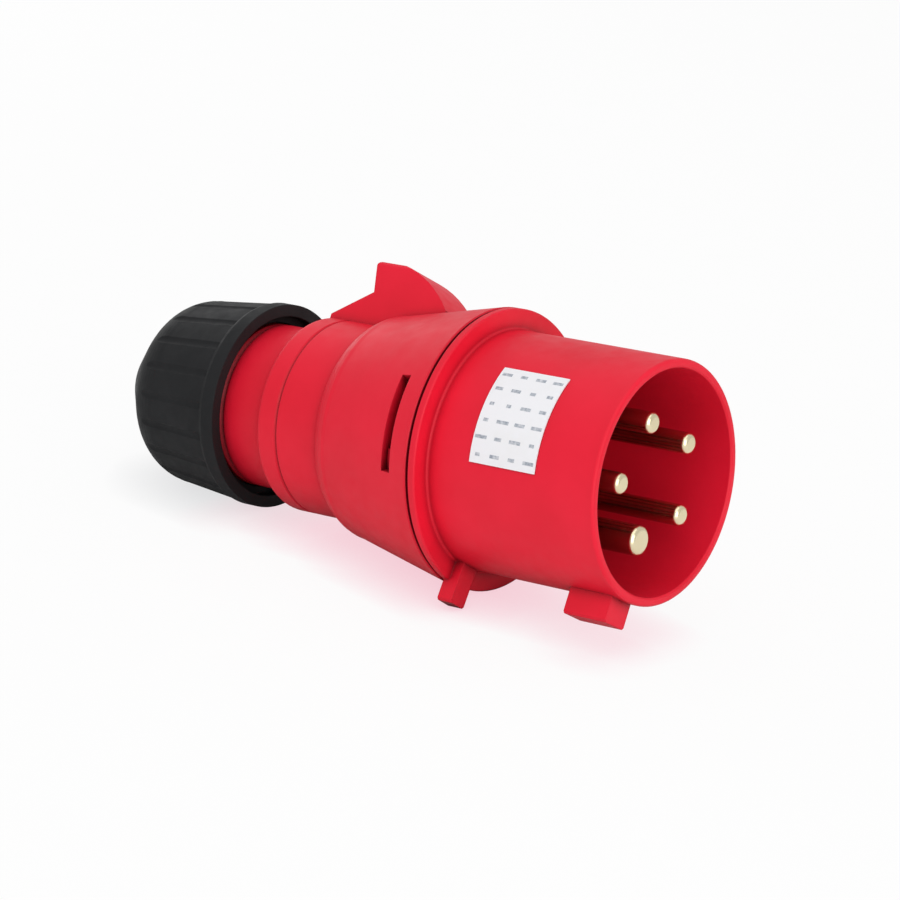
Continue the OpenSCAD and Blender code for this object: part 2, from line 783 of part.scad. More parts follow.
module grip_cage()
{
    color(grey)
        lying()
            difference() {
                rotate_extrude()
                    polygon([[cage_in_r, cage_front], [cage_r, cage_front],
                        [cage_r, cage_collar_front], [cage_collar_r, cage_collar_front],
                        [cage_collar_r, cage_collar_rear], [finger_root_r, cage_collar_rear],
                        [finger_tip_r, finger_rear], [finger_in_tip_r, finger_rear],
                        [cage_in_r, seal_straight_rear]]);
                for (i = [0:finger_count - 1])
                    rotate([0, 0, i * 360 / finger_count])
                        translate([0, -slit_w / 2, cage_collar_rear + slide_fit])
                            cube([finger_root_r + cut, slit_w, finger_len + cut]);
            }
}

module cable_seal()
{
    color(black)
        lying()
            rotate_extrude()
                polygon([[seal_bore_r + seal_bevel, seal_front], [seal_r, seal_front],
                    [seal_r, seal_straight_rear], [seal_r - seal_nose_drop, seal_rear],
                    [seal_bore_r + seal_bevel, seal_rear],
                    [seal_bore_r, seal_rear - seal_bevel],
                    [seal_bore_r, seal_front + seal_bevel]]);
}

module slip_ring()
{
    color(grey)
        lying()
            ring(slip_ring_front, slip_ring_rear, slip_ring_in_r, slip_ring_r);
}

// outside of the gland nut
module nut_outline()
{
    polygon(concat(
        [[0, nut_front], [nut_r, nut_front], [nut_r, nut_collar_rear],
            [nut_rim_r, nut_rim_rear]],
        arc([nut_arc_r, nut_arc_z], nut_shoulder_r, 0, nut_cone_angle, 8),
        [[nut_rear_r, nut_rear], [0, nut_rear]]));
}

// room inside the gland nut for the neck, the cage, the slip ring and the cable
module nut_room()
{
    pocket_r = slip_ring_r + thread_fit;
    polygon([[0, nut_front - cut], [nut_mouth_r, nut_front - cut],
        [nut_mouth_r, nut_front + nut_mouth_depth], [nut_thread_r, nut_front + nut_mouth_depth],
        [nut_thread_r, nut_thread_rear], [finger_root_r + 2 * slide_fit, nut_thread_rear],
        [pocket_r, slip_ring_front], [pocket_r, nut_end_face],
        [cable_hole_r, nut_end_face], [cable_hole_r, nut_rear + cut], [0, nut_rear + cut]]);
}

// straight cutter that leans with the taper of the grip and runs out in the shoulder
module flute()
{
    lean = atan((nut_rim_r - nut_waist_r) / (nut_arc_z - nut_rim_rear));
    translate([nut_rim_r + flute_r - flute_depth, 0, nut_rim_rear])
        rotate([0, -lean, 0])
            cylinder(h = nut_arc_z - nut_rim_rear + nut_shoulder_r, r = flute_r, $fn = 32);
}

module gland_nut()
{
    color(black)
        lying()
            difference() {
                rotate_extrude()
                    nut_outline();
                rotate_extrude()
                    nut_room();
                for (i = [0:flute_count - 1])
                    rotate([0, 0, i * 360 / flute_count])
                        flute();
            }
}

plug_sleeve();
rating_label();
contact_carrier();
carrier_screws();
contact(0, earth_pin_r);  // earth_contact
contact(1, pin_r);  // neutral_contact
contact(2, pin_r);  // phase_contact_3
contact(3, pin_r);  // phase_contact_2
contact(4, pin_r);  // phase_contact_1
terminal_screw(0, earth_pin_r);  // earth_terminal_screw
terminal_screw(1, pin_r);  // neutral_terminal_screw
terminal_screw(2, pin_r);  // phase_terminal_screw_3
terminal_screw(3, pin_r);  // phase_terminal_screw_2
terminal_screw(4, pin_r);  // phase_terminal_screw_1
housing_seal();
rear_housing();
grip_cage();
cable_seal();
slip_ring();
gland_nut();
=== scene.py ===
"""Industrial pin and sleeve plug: finishes for its solids, a printed label and a studio stage.

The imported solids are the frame. Each operator finishes one group of pieces, the last one sets
the stage, and the panel in the 3D view's sidebar holds every size and colour.
"""

import json
import math

import bpy
from bpy.props import FloatProperty, FloatVectorProperty, IntProperty, PointerProperty
from mathutils import Matrix, Vector


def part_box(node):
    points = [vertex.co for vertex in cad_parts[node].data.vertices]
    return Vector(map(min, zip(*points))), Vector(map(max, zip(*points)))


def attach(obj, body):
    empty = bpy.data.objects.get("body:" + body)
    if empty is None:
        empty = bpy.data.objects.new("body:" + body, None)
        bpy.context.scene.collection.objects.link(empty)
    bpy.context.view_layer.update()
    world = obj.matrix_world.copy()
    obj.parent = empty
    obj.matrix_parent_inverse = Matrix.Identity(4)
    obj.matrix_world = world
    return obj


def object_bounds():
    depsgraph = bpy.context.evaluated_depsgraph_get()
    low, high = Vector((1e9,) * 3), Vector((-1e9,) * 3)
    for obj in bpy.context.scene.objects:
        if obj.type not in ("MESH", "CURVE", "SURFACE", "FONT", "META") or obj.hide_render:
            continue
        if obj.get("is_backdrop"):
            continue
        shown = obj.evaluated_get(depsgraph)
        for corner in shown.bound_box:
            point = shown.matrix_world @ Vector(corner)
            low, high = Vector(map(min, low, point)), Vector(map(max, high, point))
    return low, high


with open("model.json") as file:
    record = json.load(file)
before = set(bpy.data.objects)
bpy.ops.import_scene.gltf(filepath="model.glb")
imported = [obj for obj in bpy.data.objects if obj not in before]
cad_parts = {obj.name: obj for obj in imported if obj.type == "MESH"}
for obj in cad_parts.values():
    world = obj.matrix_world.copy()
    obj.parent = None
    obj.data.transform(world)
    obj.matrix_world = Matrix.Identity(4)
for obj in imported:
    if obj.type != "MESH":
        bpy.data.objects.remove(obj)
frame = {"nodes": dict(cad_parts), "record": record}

bl_info = {
    "name": "Pin and Sleeve Plug",
    "version": (1, 0, 0),
    "blender": (4, 5, 0),
    "location": "3D View > Sidebar > Plug",
    "description": "Finishes the solids of an industrial plug and sets its studio stage",
    "category": "Object",
}

MM = 0.001

# scales of the patterns, in repeats per metre
MOTTLE_SCALE = 45.0
WAVE_SCALE = 160.0
GLOSS_SCALE = 300.0
CLOUD_SCALE = 350.0
TOOL_MARK_SCALE = 5200.0
FILM_DUST_SCALE = 130.0
FILM_FIBRE_SCALE = 900.0
INK_SOAK_SCALE = 1500.0
FLOOR_SPECK_SCALE = 60.0

# rays that look for hollows and edges
HOLLOW_RAYS = 6
EDGE_RAYS = 4

# the print on the label
PRINT_SEED = 7
DASH_SHARE = {"Min": 0.3, "Max": 0.95}

# the stage: how much of the floor is plain white, and the painted shadow under the plug: its reach,
# its blend and its grey
WHITE_SHARE = 0.92
CAST_REACH = 14 * MM
CAST_BLEND = 15 * MM
GREY_PAINTED_SHADOW = (0.78, 0.78, 0.79)
WORLD_LEVEL = 0.6
FLOOR_SPANS = 14
SENSOR_WIDTH = 36.0


# ---------------------------------------------------------------- the plug's own axis

def mount(name):
    """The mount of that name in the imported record."""
    for entry in frame["record"]["mounts"]:
        if entry["name"] == name:
            return entry
    raise KeyError(name)


def plug_turn():
    """Rotation from the plug's own axis along +X to the pose in which the plug lies."""
    forward = Vector(mount("plug_face")["axis"])
    return Matrix.Rotation(-math.atan2(forward.z, forward.x), 4, "Y")


# ---------------------------------------------------------------- settings

def colour_property(name, description, default):
    """A linear RGB colour."""
    return FloatVectorProperty(
        name=name, description=description, subtype="COLOR", size=3, min=0.0, max=1.0,
        default=default,
    )


class PlugFinishSettings(bpy.types.PropertyGroup):
    """Colours and surface detail of the plug's materials."""

    red: colour_property("Red", "Colour of the red mouldings", (0.86, 0.011, 0.038))
    red_deep: colour_property(
        "Deep red", "Darker mottle of the red mouldings", (0.76, 0.008, 0.028))
    black: colour_property("Black", "Colour of the gland nut", (0.009, 0.0095, 0.0105))
    black_pale: colour_property(
        "Pale black", "Lighter mottle of the gland nut", (0.016, 0.0165, 0.018))
    brass: colour_property("Brass", "Colour of the plated brass pins", (0.93, 0.83, 0.56))
    brass_dull: colour_property(
        "Dull brass", "Colour of the tool marks on the pins", (0.88, 0.77, 0.50))
    steel: colour_property("Steel", "Colour of the plated screws", (0.62, 0.61, 0.57))
    steel_dull: colour_property(
        "Dull steel", "Colour of the tool marks on the screws", (0.50, 0.49, 0.46))
    carrier: colour_property("Carrier", "Colour of the contact carrier", (0.05, 0.052, 0.056))
    cage: colour_property("Cage", "Colour of the grip cage and the slip ring", (0.42, 0.41, 0.38))
    cage_deep: colour_property(
        "Deep cage", "Darker mottle of the cage and the ring", (0.36, 0.35, 0.32))
    rubber: colour_property("Rubber", "Colour of the seals", (0.022, 0.022, 0.022))
    label: colour_property("Label", "Colour of the blank label", (0.90, 0.90, 0.93))
    ink: colour_property("Ink", "Colour of the printed lines on the label", (0.30, 0.34, 0.40))
    print_rows: IntProperty(
        name="Print rows", description="Rows of dashes printed on the label", default=6,
        min=1, max=20,
    )
    print_columns: IntProperty(
        name="Print columns", description="Dashes in one row on the label", default=4,
        min=1, max=12,
    )
    print_margin: FloatProperty(
        name="Print margin", description="Bare border round the printed dashes",
        default=2.0 * MM, min=0.0, max=6 * MM, unit="LENGTH",
    )
    print_height: FloatProperty(
        name="Print height", description="Height of a printed dash", default=0.8 * MM,
        min=0.1 * MM, max=3 * MM, unit="LENGTH",
    )
    print_thickness: FloatProperty(
        name="Print thickness", description="How far the ink stands above the label",
        default=0.03 * MM, min=0.01 * MM, max=0.1 * MM, unit="LENGTH",
    )
    grain: FloatProperty(
        name="Grain", description="Size of the moulded grain", default=0.35 * MM,
        min=0.05 * MM, max=2 * MM, unit="LENGTH",
    )
    # The next four settings are painted shade: how far into grooves, corners and deep hollows the
    # colours are darkened, and how much brightness is left there.
    crease_shade: FloatProperty(
        name="Crease", description="Reach of the dark in grooves and corners",
        default=3.0 * MM, min=0.1 * MM, max=10 * MM, unit="LENGTH",
    )
    crease_level: FloatProperty(
        name="Crease level", description="Brightness left in the deepest grooves",
        default=0.3, min=0.0, max=1.0, subtype="FACTOR",
    )
    hollow_shade: FloatProperty(
        name="Hollow", description="Reach of the dark inside deep hollows",
        default=40.0 * MM, min=1.0 * MM, max=100 * MM, unit="LENGTH",
    )
    hollow_level: FloatProperty(
        name="Hollow level", description="Brightness left in the deepest hollows",
        default=0.62, min=0.0, max=1.0, subtype="FACTOR",
    )
    edge: FloatProperty(
        name="Edge", description="Radius that softens the light on the moulded edges",
        default=0.35 * MM, min=0.0, max=2 * MM, unit="LENGTH",
    )


class PlugStageSettings(bpy.types.PropertyGroup):
    """Camera, lights and floor."""

    turn: FloatProperty(
        name="Turn", description="Angle of the view round the plug's axis frame",
        default=math.radians(37.7), subtype="ANGLE", unit="ROTATION",
    )
    height: FloatProperty(
        name="Height", description="Angle of the view above the plug's own level",
        default=math.radians(15.07), subtype="ANGLE", unit="ROTATION",
    )
    distance: FloatProperty(
        name="Distance", description="Distance of the camera from the mouth's plane",
        default=0.9, min=0.2, unit="LENGTH",
    )
    aim_right: FloatProperty(
        name="Aim right", description="How far right of the mouth the camera aims",
        default=-48.39 * MM, unit="LENGTH",
    )
    aim_up: FloatProperty(
        name="Aim up", description="How far above the mouth the camera aims",
        default=7.46 * MM, unit="LENGTH",
    )
    lens: FloatProperty(
        name="Lens", description="Focal length on a 36 mm sensor", default=161.1, min=10.0,
    )
    key_power: FloatProperty(
        name="Key", description="Power of the large light above", default=2.6, unit="POWER",
    )
    fill_power: FloatProperty(
        name="Fill", description="Power of the light beside the camera", default=3.6, unit="POWER",
    )
    rim_power: FloatProperty(
        name="Rim", description="Power of the light behind the plug", default=0.5, unit="POWER",
    )
    floor: colour_property("Floor", "Colour of the floor", (0.90, 0.90, 0.90))
    # painted shadow with painted red bounce light: the pink on the floor close under the plug
    painted_red_shadow: colour_property("Blush", "Colour of the floor close under the plug", (0.97, 0.62, 0.70))


# ---------------------------------------------------------------- node helpers

class Nodes:
    """A small builder for one material's node tree."""

    def __init__(self, name):
        self.material = bpy.data.materials.new(name)
        self.material.use_nodes = True
        self.tree = self.material.node_tree
        self.tree.nodes.clear()

    def add(self, kind, inputs=None, **values):
        """Adds a node, sets its attributes, and fills its sockets by name or by number."""
        node = self.tree.nodes.new(kind)
        for name, value in values.items():
            setattr(node, name, value)
        for name, value in (inputs or {}).items():
            self.feed(node.inputs[name], value)
        return node

    def feed(self, socket, value):
        """Links an output socket into a socket, or sets the socket's own value."""
        if isinstance(value, bpy.types.NodeSocket):
            self.tree.links.new(value, socket)
        elif isinstance(value, (tuple, list)) and len(value) == 3 and socket.type == "RGBA":
            socket.default_value = (*value, 1.0)
        else:
            socket.default_value = value

    def axis_coordinates(self, scale=(1.0, 1.0, 1.0)):
        """Object coordinates turned so that X runs along the plug's own axis."""
        source = self.add("ShaderNodeTexCoord").outputs["Object"]
        turn = plug_turn().inverted().to_euler()
        turned = self.add("ShaderNodeMapping", {"Vector": source, "Rotation": tuple(turn)})
        scaled = self.add("ShaderNodeMapping", {"Vector": turned.outputs[0], "Scale": scale})
        return scaled.outputs[0]

    def noise(self, coordinates, scale, detail=2.0, roughness=0.5):
        """A noise texture's factor."""
        return self.add("ShaderNodeTexNoise", {
            "Vector": coordinates, "Scale": scale, "Detail": detail, "Roughness": roughness,
        }).outputs[0]

    def spread(self, factor, low, high, to_low, to_high):
        """Maps a factor from one range to another."""
        return self.add("ShaderNodeMapRange", {
            "Value": factor, "From Min": low, "From Max": high,
            "To Min": to_low, "To Max": to_high,
        }).outputs[0]

    def mix(self, factor, first, second):
        """Mixes two colours."""
        node = self.add("ShaderNodeMix", data_type="RGBA")
        self.feed(node.inputs[0], factor)
        self.feed(node.inputs[6], first)
        self.feed(node.inputs[7], second)
        return node.outputs[2]

    def maths(self, operation, first, second=0.0):
        """One arithmetic step."""
        node = self.add("ShaderNodeMath", operation=operation)
        self.feed(node.inputs[0], first)
        self.feed(node.inputs[1], second)
        return node.outputs[0]

    def bump(self, height, distance, strength=1.0, normal=None):
        """A bump from a height, on top of another normal."""
        node = self.add("ShaderNodeBump", {
            "Height": height, "Distance": distance, "Strength": strength,
        })
        if normal is not None:
            self.feed(node.inputs["Normal"], normal)
        return node.outputs[0]

    def open_share(self, reach, low, high, to_low):
        """How open a point is within a reach: 1 where it is open, to_low where it is closed in."""
        node = self.add("ShaderNodeAmbientOcclusion", {"Distance": reach}, samples=HOLLOW_RAYS)
        return self.spread(node.outputs["AO"], low, high, to_low, 1.0)

    def soft_edge(self, radius):
        """A normal that rounds the edges to a radius."""
        return self.add("ShaderNodeBevel", {"Radius": radius}, samples=EDGE_RAYS).outputs[0]

    def finish(self, **sockets):
        """Ends the tree in a principled shader with the given sockets."""
        shader = self.add("ShaderNodeBsdfPrincipled", sockets)
        self.add("ShaderNodeOutputMaterial", {"Surface": shader.outputs[0]})
        return self.material


# ---------------------------------------------------------------- materials

def moulded(name, colour, mottle, settings, gloss, grain_depth, shine=0.5):
    """Moulded plastic: mottled colour, fine grain, slight waves, softened edges, and painted shade
    in grooves and deep hollows.
    """
    nodes = Nodes(name)
    place = nodes.axis_coordinates()
    clouds = nodes.noise(place, MOTTLE_SCALE, 4.0)
    fine = nodes.noise(place, 1.0 / settings.grain, 3.0, 0.6)
    waves = nodes.noise(place, WAVE_SCALE, 1.0)
    tint = nodes.mix(nodes.spread(clouds, 0.3, 0.75, 0.0, 1.0), colour, mottle)
    # painted shade: the colour is darkened towards black in grooves and corners, and again inside
    # deep hollows such as the sleeve's mouth, where shade falls
    dark = (0.0, 0.0, 0.0)
    groove_shade = nodes.open_share(settings.crease_shade, 0.35, 0.9, settings.crease_level)
    tint = nodes.mix(groove_shade, dark, tint)
    hollow_shade = nodes.open_share(settings.hollow_shade, 0.1, 0.5, settings.hollow_level)
    tint = nodes.mix(hollow_shade, dark, tint)
    wavy = nodes.bump(waves, 0.02 * MM, 0.6, nodes.soft_edge(settings.edge))
    grainy = nodes.bump(fine, grain_depth, 0.8, wavy)
    return nodes.finish(**{
        "Base Color": tint,
        "Roughness": nodes.spread(
            nodes.noise(place, GLOSS_SCALE, 3.0), 0.3, 0.7, gloss - 0.05, gloss + 0.07),
        "Normal": grainy,
        "IOR": 1.5,
        "Specular IOR Level": shine,
    })


def turned_metal(name, bright, dull, settings, roughness):
    """Turned metal with faint tool marks that run round the axis, and painted shade and painted
    dark reflection in deep hollows.
    """
    nodes = Nodes(name)
    marks = nodes.noise(nodes.axis_coordinates((1.0, 0.03, 0.03)), TOOL_MARK_SCALE, 2.0, 0.7)
    cloud = nodes.noise(nodes.axis_coordinates(), CLOUD_SCALE, 3.0)
    shade = nodes.maths("MULTIPLY", nodes.spread(marks, 0.35, 0.65, 0.0, 1.0), cloud)
    # painted shade and painted dark reflection: deep in the mouth the metal's colour goes nearly
    # black
    hollow_shade = nodes.open_share(settings.hollow_shade, 0.15, 0.6, settings.hollow_level / 2)
    return nodes.finish(**{
        "Base Color": nodes.mix(hollow_shade, (0.02, 0.012, 0.01), nodes.mix(shade, bright, dull)),
        "Metallic": 1.0,
        "Roughness": nodes.spread(marks, 0.3, 0.7, roughness - 0.02, roughness + 0.04),
        "Normal": nodes.bump(marks, 0.002 * MM, 0.12, nodes.soft_edge(0.2 * MM)),
    })


def label_film(settings):
    """White film with a faint fibre and a little dust."""
    nodes = Nodes("label_film")
    place = nodes.axis_coordinates()
    fibre = nodes.noise(place, FILM_FIBRE_SCALE, 4.0)
    dust = nodes.noise(place, FILM_DUST_SCALE, 5.0, 0.65)
    stain = nodes.spread(dust, 0.52, 0.8, 0.0, 0.35)
    return nodes.finish(**{
        "Base Color": nodes.mix(stain, settings.label[:], (0.82, 0.82, 0.80)),
        "Roughness": nodes.spread(fibre, 0.3, 0.7, 0.32, 0.5),
        "Normal": nodes.bump(fibre, 0.01 * MM, 0.4),
        "Coat Weight": 0.2,
        "Coat Roughness": 0.25,
    })


def printed_ink(settings):
    """Pale ink that has soaked unevenly into the film."""
    nodes = Nodes("label_ink")
    soak = nodes.noise(nodes.axis_coordinates(), INK_SOAK_SCALE, 3.0)
    return nodes.finish(**{
        "Base Color": nodes.mix(
            nodes.spread(soak, 0.35, 0.7, 0.0, 0.6), settings.ink[:], settings.label[:]),
        "Roughness": nodes.spread(soak, 0.3, 0.7, 0.4, 0.6),
    })


# ---------------------------------------------------------------- printed dashes

def label_span():
    """Front, rear, radius, first angle and last angle of the label about the plug's own axis."""
    own = plug_turn().inverted()
    points = [own @ vertex.co for vertex in frame["nodes"]["rating_label"].data.vertices]
    middle = sum(points, Vector()) / len(points)
    centre = math.atan2(middle.z, middle.y)
    turns = []
    for point in points:
        off = math.atan2(point.z, point.y) - centre
        turns.append((off + math.pi) % math.tau - math.pi)
    along = [point.x for point in points]
    radius = max(math.hypot(point.y, point.z) for point in points)
    return min(along), max(along), radius, centre + min(turns), centre + max(turns)


class Tree:
    """A small builder for one Geometry Nodes tree."""

    def __init__(self, name):
        self.tree = bpy.data.node_groups.new(name, "GeometryNodeTree")
        self.tree.is_modifier = True
        self.tree.interface.new_socket(
            "Geometry", in_out="OUTPUT", socket_type="NodeSocketGeometry")
        self.source = self.tree.nodes.new("NodeGroupInput")
        self.identifiers = {}

    def size(self, name, kind, value):
        """A named input of the tree, with its value."""
        socket = self.tree.interface.new_socket(name, in_out="INPUT", socket_type=kind)
        socket.default_value = value
        self.identifiers[name] = (socket.identifier, value)
        return self.source.outputs[name]

    def add(self, kind, inputs=None, **values):
        """Adds a node, sets its attributes, and links or sets its sockets."""
        node = self.tree.nodes.new(kind)
        for name, value in values.items():
            setattr(node, name, value)
        for name, value in (inputs or {}).items():
            if isinstance(value, bpy.types.NodeSocket):
                self.tree.links.new(value, node.inputs[name])
            else:
                node.inputs[name].default_value = value
        return node

    def maths(self, operation, first, second=0.0):
        """One arithmetic step."""
        return self.add("ShaderNodeMath", {0: first, 1: second}, operation=operation).outputs[0]

    def mesh(self, geometry, name):
        """Ends the tree in the geometry, runs it on an empty object and keeps a plain mesh."""
        end = self.add("NodeGroupOutput")
        self.tree.links.new(geometry, end.inputs[0])
        maker = bpy.data.objects.new(name + "_maker", bpy.data.meshes.new(name + "_maker"))
        bpy.context.scene.collection.objects.link(maker)
        modifier = maker.modifiers.new(name, "NODES")
        modifier.node_group = self.tree
        for identifier, value in self.identifiers.values():
            modifier[identifier] = value
        graph = bpy.context.evaluated_depsgraph_get()
        mesh = bpy.data.meshes.new_from_object(maker.evaluated_get(graph), depsgraph=graph)
        maker.modifiers.remove(modifier)
        bpy.data.objects.remove(maker)
        piece = bpy.data.objects.new(name, mesh)
        bpy.context.scene.collection.objects.link(piece)
        return piece


def print_dashes(settings, ink):
    """Rows of printed dashes that follow the curve of the label."""
    front, rear, radius, first, last = label_span()
    tree = Tree("label_print")
    rows = tree.size("Rows", "NodeSocketInt", settings.print_rows)
    columns = tree.size("Columns", "NodeSocketInt", settings.print_columns)
    start = tree.size("Start", "NodeSocketFloat", front + settings.print_margin)
    length = tree.size("Length", "NodeSocketFloat", rear - front - 2 * settings.print_margin)
    base = tree.size("Radius", "NodeSocketFloat", radius)
    turn = tree.size("First angle", "NodeSocketFloat", first + settings.print_margin / radius)
    sweep = tree.size("Sweep", "NodeSocketFloat", last - first - 2 * settings.print_margin / radius)
    height = tree.size("Dash height", "NodeSocketFloat", settings.print_height)
    thick = tree.size("Thickness", "NodeSocketFloat", settings.print_thickness)
    seed = tree.size("Seed", "NodeSocketInt", PRINT_SEED)

    # one point for each dash on a unit sheet, which is stretched and bent round the sleeve
    grid = tree.add("GeometryNodeMeshGrid", {
        "Size X": 1.0, "Size Y": 1.0, "Vertices X": columns, "Vertices Y": rows,
    })
    points = tree.add("GeometryNodeMeshToPoints", {"Mesh": grid.outputs[0]}).outputs[0]
    place = tree.add("ShaderNodeSeparateXYZ", {0: tree.add("GeometryNodeInputPosition").outputs[0]})
    angle = tree.maths("ADD", turn, tree.maths(
        "MULTIPLY", sweep, tree.maths("ADD", place.outputs[1], 0.5)))
    bent = tree.add("ShaderNodeCombineXYZ", {
        "X": tree.maths("ADD", start, tree.maths(
            "MULTIPLY", length, tree.maths("ADD", place.outputs[0], 0.5))),
        "Y": tree.maths("MULTIPLY", base, tree.maths("COSINE", angle)),
        "Z": tree.maths("MULTIPLY", base, tree.maths("SINE", angle)),
    })
    laid = tree.add("GeometryNodeSetPosition", {"Geometry": points, "Position": bent.outputs[0]})

    # each dash stands on the film, turned to face outwards, with a length of its own
    outwards = tree.maths("ARCTAN2", place.outputs[2], place.outputs[1])
    radial = tree.add("ShaderNodeCombineXYZ", {
        "X": tree.maths("SUBTRACT", outwards, math.pi / 2),
    })
    share = tree.add("FunctionNodeRandomValue", data_type="FLOAT")
    for socket in share.inputs:
        if socket.enabled and socket.name in DASH_SHARE:
            socket.default_value = DASH_SHARE[socket.name]
    tree.tree.links.new(seed, share.inputs["Seed"])
    reach = next(socket for socket in share.outputs if socket.enabled)
    size = tree.add("ShaderNodeCombineXYZ", {
        "X": tree.maths("MULTIPLY", reach, tree.maths("DIVIDE", length, columns)),
        "Y": height,
        "Z": thick,
    })
    dash = tree.add("GeometryNodeMeshCube", {
        "Size": (1.0, 1.0, 1.0), "Vertices X": 2, "Vertices Y": 2, "Vertices Z": 2,
    })
    dashes = tree.add("GeometryNodeInstanceOnPoints", {
        "Points": laid.outputs[0], "Instance": dash.outputs[0], "Scale": size.outputs[0],
    })
    tree.tree.links.new(radial.outputs[0], dashes.inputs["Rotation"])
    whole = tree.add("GeometryNodeRealizeInstances", {0: dashes.outputs[0]})
    inked = tree.add("GeometryNodeSetMaterial", {"Geometry": whole.outputs[0], "Material": ink})
    piece = tree.mesh(inked.outputs[0], "label_print")
    piece.data.transform(plug_turn())
    return piece


def assign(material, *names):
    """Gives a CAD node's object one material."""
    for name in names:
        mesh = frame["nodes"][name].data
        mesh.materials.clear()
        mesh.materials.append(material)


# ---------------------------------------------------------------- operators

class PLUG_OT_finish_red(bpy.types.Operator):
    """Finish the sleeve and the rear housing in red moulded plastic"""

    bl_idname = "plug.finish_red"
    bl_label = "Finish Red Mouldings"

    def execute(self, context):
        settings = context.scene.plug_finish
        red = moulded("red_moulding", settings.red[:], settings.red_deep[:], settings,
                      gloss=0.44, grain_depth=0.012 * MM, shine=0.24)
        assign(red, "plug_sleeve", "rear_housing")
        return {"FINISHED"}


class PLUG_OT_finish_nut(bpy.types.Operator):
    """Finish the gland nut in black moulded plastic"""

    bl_idname = "plug.finish_nut"
    bl_label = "Finish Gland Nut"

    def execute(self, context):
        settings = context.scene.plug_finish
        black = moulded("black_moulding", settings.black[:], settings.black_pale[:], settings,
                        gloss=0.6, grain_depth=0.03 * MM, shine=0.2)
        assign(black, "gland_nut")
        return {"FINISHED"}


class PLUG_OT_finish_metal(bpy.types.Operator):
    """Finish the contacts and the screws in turned metal"""

    bl_idname = "plug.finish_metal"
    bl_label = "Finish Contacts and Screws"

    def execute(self, context):
        settings = context.scene.plug_finish
        brass = turned_metal("contact_brass", settings.brass[:], settings.brass_dull[:],
                             settings, roughness=0.22)
        steel = turned_metal("plated_steel", settings.steel[:], settings.steel_dull[:],
                             settings, roughness=0.34)
        for node in frame["nodes"]:
            if node.endswith("_contact") or node.startswith("phase_contact"):
                assign(brass, node)
            elif "screw" in node:
                assign(steel, node)
        return {"FINISHED"}


class PLUG_OT_finish_inner(bpy.types.Operator):
    """Finish the carrier, the cage and the seals"""

    bl_idname = "plug.finish_inner"
    bl_label = "Finish Inner Pieces"

    def execute(self, context):
        settings = context.scene.plug_finish
        carrier = moulded("carrier_moulding", settings.carrier[:], settings.black_pale[:],
                          settings, gloss=0.5, grain_depth=0.02 * MM)
        cage = moulded("cage_moulding", settings.cage[:], settings.cage_deep[:],
                       settings, gloss=0.42, grain_depth=0.012 * MM)
        rubber = moulded("seal_rubber", settings.rubber[:], settings.black[:],
                         settings, gloss=0.6, grain_depth=0.04 * MM)
        assign(carrier, "contact_carrier")
        assign(cage, "grip_cage", "slip_ring")
        assign(rubber, "cable_seal", "housing_seal")
        return {"FINISHED"}


class PLUG_OT_finish_label(bpy.types.Operator):
    """Finish the label on the sleeve and print its rows of dashes"""

    bl_idname = "plug.finish_label"
    bl_label = "Finish Label"

    def execute(self, context):
        settings = context.scene.plug_finish
        assign(label_film(settings), "rating_label")
        piece = print_dashes(settings, printed_ink(settings))
        if len(piece.data.polygons) < 6 * settings.print_rows:
            raise RuntimeError("the print tree made no dashes")
        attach(piece, "plug")
        return {"FINISHED"}


def area_light(name, place, target, size, power):
    """A square area light that points at a target."""
    light = bpy.data.lights.new(name, "AREA")
    light.shape = "SQUARE"
    light.size = size
    light.energy = power
    lamp = bpy.data.objects.new(name, light)
    lamp.location = place
    lamp.rotation_euler = (Vector(target) - Vector(place)).to_track_quat("-Z", "Y").to_euler()
    bpy.context.scene.collection.objects.link(lamp)


def white_where_seen(name, colour, painted_red_shadow, grey_end):
    """Diffuse white that the camera sees mostly as plain white, with a painted shadow under the
    plug.

    The painted shadow is grey behind grey_end, where the nut is, and a painted pink bounce of the
    red plastic's light in front of it.
    """
    nodes = Nodes(name)
    place = nodes.add("ShaderNodeTexCoord").outputs["Object"]
    speck = nodes.spread(nodes.noise(place, FLOOR_SPECK_SCALE, 3.0), 0.3, 0.7, 0.97, 1.0)
    tint = nodes.mix(speck, (0.0, 0.0, 0.0), colour)
    matt = nodes.add("ShaderNodeBsdfDiffuse", {"Color": tint})
    # painted shadow: what the camera sees of the floor turns grey under the nut and pink under the
    # red parts, where the plug closes the floor in
    open_sky = nodes.add(
        "ShaderNodeAmbientOcclusion", {"Distance": CAST_REACH}, samples=HOLLOW_RAYS).outputs["AO"]
    along = nodes.add("ShaderNodeSeparateXYZ", {0: place}).outputs[0]
    past_nut = nodes.spread(along, grey_end - CAST_BLEND, grey_end + CAST_BLEND, 0.0, 1.0)
    painted_shadow = nodes.mix(past_nut, GREY_PAINTED_SHADOW, painted_red_shadow)
    glow = nodes.mix(open_sky, painted_shadow, (1.0, 1.0, 1.0))
    plain = nodes.add("ShaderNodeEmission", {"Color": glow, "Strength": 1.0})
    seen = nodes.add("ShaderNodeLightPath").outputs["Is Camera Ray"]
    blend = nodes.add("ShaderNodeMixShader", {0: nodes.maths("MULTIPLY", seen, WHITE_SHARE)})
    nodes.feed(blend.inputs[1], matt.outputs[0])
    nodes.feed(blend.inputs[2], plain.outputs[0])
    nodes.add("ShaderNodeOutputMaterial", {"Surface": blend.outputs[0]})
    return nodes.material


def camera_matrix(stage):
    """Place and turn of the camera, worked out on the plug's own axis and then laid down."""
    turn, height = stage.turn, stage.height
    right = Vector((math.cos(turn), math.sin(turn), 0.0))
    ahead = Vector((
        -math.sin(turn) * math.cos(height), math.cos(turn) * math.cos(height), -math.sin(height),
    ))
    up = right.cross(ahead)
    place = right * stage.aim_right + up * stage.aim_up - ahead * stage.distance
    own = Matrix((right, up, -ahead)).transposed().to_4x4()
    own.translation = place
    return plug_turn() @ own


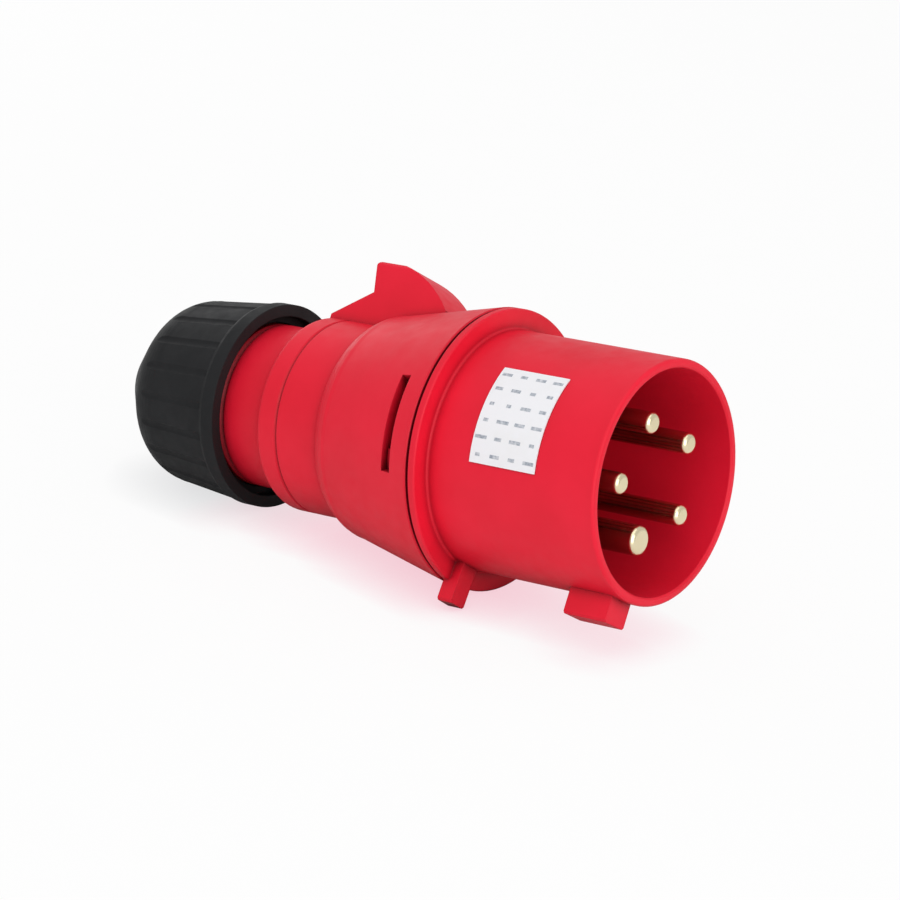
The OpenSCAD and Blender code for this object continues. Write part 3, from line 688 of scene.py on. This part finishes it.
class PLUG_OT_stage(bpy.types.Operator):
    """Set the floor, the lights and the camera"""

    bl_idname = "plug.stage"
    bl_label = "Set Stage"

    def execute(self, context):
        stage = context.scene.plug_stage
        low, high = (Vector(corner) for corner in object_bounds())
        centre = (low + high) / 2
        span = (high - low).length

        mesh = bpy.data.meshes.new("floor")
        reach = FLOOR_SPANS * span
        sides = [(-reach, -reach), (reach, -reach), (reach, reach), (-reach, reach)]
        mesh.from_pydata(
            [(centre.x + x, centre.y + y, low.z) for x, y in sides], [], [(0, 1, 2, 3)])
        floor = bpy.data.objects.new("floor", mesh)
        mesh.materials.append(white_where_seen(
            "floor_white", stage.floor[:], stage.painted_red_shadow[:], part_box("gland_nut")[1][0]))
        context.scene.collection.objects.link(floor)
        floor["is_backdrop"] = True

        camera = bpy.data.cameras.new("camera")
        camera.lens = stage.lens
        camera.sensor_width = SENSOR_WIDTH
        camera.clip_end = 100.0
        eye = bpy.data.objects.new("camera", camera)
        eye.matrix_world = camera_matrix(stage)
        context.scene.collection.objects.link(eye)
        context.scene.camera = eye

        view = eye.matrix_world.to_3x3()
        right, up, back = view.col[0], view.col[1], view.col[2]
        above = centre + Vector((0.1, -0.25, 0.9))
        beside = centre + back * 0.9 + right * 0.35 - up * 0.05
        behind = centre - back * 0.5 - right * 0.3 + up * 0.4
        area_light("key", above, centre, 1.1, stage.key_power)
        area_light("fill", beside, centre, 0.8, stage.fill_power)
        area_light("rim", behind, centre, 0.4, stage.rim_power)

        world = bpy.data.worlds.new("studio")
        world.use_nodes = True
        tree = world.node_tree
        tree.nodes["Background"].inputs[0].default_value = (1.0, 1.0, 1.0, 1.0)
        path = tree.nodes.new("ShaderNodeLightPath")
        level = tree.nodes.new("ShaderNodeMapRange")
        level.inputs["To Min"].default_value = WORLD_LEVEL
        level.inputs["To Max"].default_value = 1.0
        tree.links.new(path.outputs["Is Camera Ray"], level.inputs["Value"])
        tree.links.new(level.outputs[0], tree.nodes["Background"].inputs[1])
        context.scene.world = world
        context.scene.view_settings.view_transform = "Standard"
        return {"FINISHED"}


class PLUG_PT_panel(bpy.types.Panel):
    """All sizes and colours of the plug, and a button for each step"""

    bl_idname = "PLUG_PT_panel"
    bl_label = "Pin and Sleeve Plug"
    bl_space_type = "VIEW_3D"
    bl_region_type = "UI"
    bl_category = "Plug"

    def draw(self, context):
        for group in (context.scene.plug_finish, context.scene.plug_stage):
            box = self.layout.box()
            for name in group.bl_rna.properties.keys():
                if name not in {"rna_type", "name"}:
                    box.prop(group, name)
        for step in STEPS:
            self.layout.operator(step.bl_idname)


STEPS = (
    PLUG_OT_finish_red,
    PLUG_OT_finish_nut,
    PLUG_OT_finish_metal,
    PLUG_OT_finish_inner,
    PLUG_OT_finish_label,
    PLUG_OT_stage,
)
CLASSES = (PlugFinishSettings, PlugStageSettings, *STEPS, PLUG_PT_panel)


def register():
    """Registers the classes and hangs the settings on the scene."""
    for cls in CLASSES:
        bpy.utils.register_class(cls)
    bpy.types.Scene.plug_finish = PointerProperty(type=PlugFinishSettings)
    bpy.types.Scene.plug_stage = PointerProperty(type=PlugStageSettings)


def unregister():
    """Takes the settings and the classes away again."""
    del bpy.types.Scene.plug_stage
    del bpy.types.Scene.plug_finish
    for cls in reversed(CLASSES):
        bpy.utils.unregister_class(cls)


def main():
    """Runs every step in order."""
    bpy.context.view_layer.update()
    register()
    for step in STEPS:
        family, name = step.bl_idname.split(".")
        getattr(getattr(bpy.ops, family), name)()


if __name__ == "__main__":
    main()
